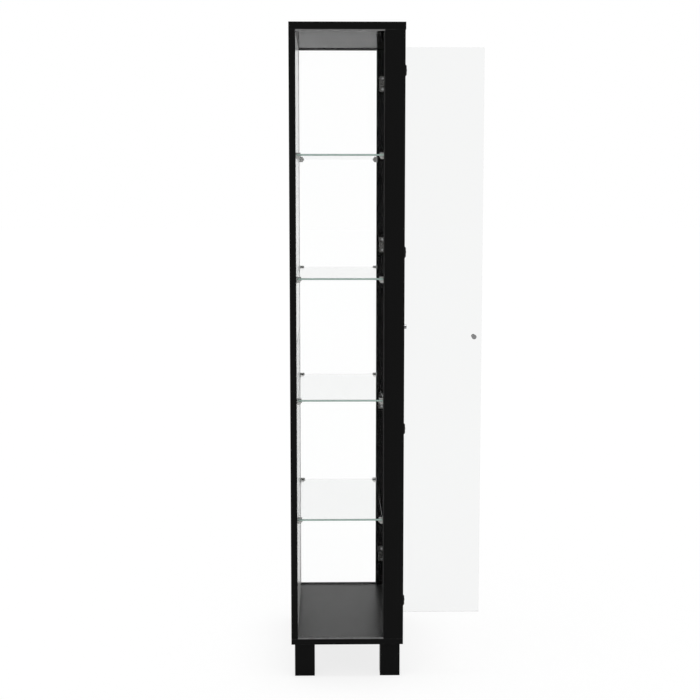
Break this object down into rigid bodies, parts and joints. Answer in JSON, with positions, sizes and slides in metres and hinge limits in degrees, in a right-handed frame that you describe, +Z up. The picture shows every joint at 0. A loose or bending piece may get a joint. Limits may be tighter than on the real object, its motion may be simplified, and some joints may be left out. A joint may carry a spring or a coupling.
{
  "type": "bookcase with glass doors",
  "caption": "Tall black lacquered bookcase on square legs, with glazed sides, a pale back, glass shelves on pinned supports and hinged inset glass doors with knobs.",
  "frame": {"origin": "on the floor, under the middle of the outline with the left door open", "axes": "+Z up, the doors' front looks along -Y, +X to the right of someone facing the front"},
  "size_m": [0.55, 0.5268, 1.8],
  "materials": {
    "black_lacquer": "satin black lacquer on board",
    "clear_pane": "clear float glass",
    "white_board": "white painted hardboard",
    "white_plastic": "white moulded strip",
    "shelf_glass": "clear float glass, ground green edges",
    "door_glass": "clear toughened glass, ground edges",
    "satin_nickel": "dark satin nickel on die castings",
    "zinc_steel": "zinc plated",
    "black_cap": "black moulded cap",
    "gunmetal": "dark polished metal",
    "black_channel": "black anodised channel",
    "beech": "raw beech dowel",
    "clear_rubber": "soft clear pad",
    "black_plastic": "black plastic washer"
  },
  "bodies": {
    "carcass": {"top_panel": "black_lacquer", "bottom_panel": "black_lacquer", "rear_left_stile": "black_lacquer", "front_left_stile": "black_lacquer", "rear_right_stile": "black_lacquer", "front_right_stile": "black_lacquer", "front_top_rail": "black_lacquer", "front_bottom_rail": "black_lacquer", "panel_dowels": "beech", "rail_dowels": "beech", "front_left_leg": "black_lacquer", "front_right_leg": "black_lacquer", "rear_left_leg": "black_lacquer", "rear_right_leg": "black_lacquer", "leg_studs": "zinc_steel", "left_side_glass": "clear_pane", "left_bottom_channel": "black_channel", "left_top_channel": "black_channel", "right_side_glass": "clear_pane", "right_bottom_channel": "black_channel", "right_top_channel": "black_channel", "lower_back_panel": "white_board", "upper_back_panel": "white_board", "back_joint_strip": "white_plastic", "back_bottom_channel": "black_channel", "back_top_channel": "black_channel", "shelf_1": "shelf_glass", "shelf_1_supports": "satin_nickel", "shelf_2": "shelf_glass", "shelf_2_supports": "satin_nickel", "shelf_3": "shelf_glass", "shelf_3_supports": "satin_nickel", "shelf_4": "shelf_glass", "shelf_4_supports": "satin_nickel", "left_hinge_plates": "satin_nickel", "left_hinge_arms": "satin_nickel", "left_hinge_screws": "zinc_steel", "right_hinge_plates": "satin_nickel", "right_hinge_arms": "satin_nickel", "right_hinge_screws": "zinc_steel", "top_door_stop": "black_lacquer", "bottom_door_stop": "black_lacquer", "door_stop_pads": "clear_rubber"},
    "left_door": {"left_door_glass": "door_glass", "left_hinge_cups": "satin_nickel", "left_hinge_pins": "zinc_steel", "left_hinge_caps": "black_cap", "left_knob": "gunmetal", "left_knob_screw": "zinc_steel", "left_knob_washers": "black_plastic"},
    "right_door": {"right_door_glass": "door_glass", "right_hinge_cups": "satin_nickel", "right_hinge_pins": "zinc_steel", "right_hinge_caps": "black_cap", "right_knob": "gunmetal", "right_knob_screw": "zinc_steel", "right_knob_washers": "black_plastic"}
  },
  "joints": [
    {"name": "left_door_hinge", "type": "hinge", "parent": "carcass", "child": "left_door", "pos_m": [-0.2278, -0.0376, 0.94275], "axis": [0, 0, 1], "range_deg": [-5, 90]},
    {"name": "right_door_hinge", "type": "hinge", "parent": "carcass", "child": "right_door", "pos_m": [0.2278, -0.0376, 0.94275], "axis": [0, 0, 1], "range_deg": [0, 95]}
  ]
}
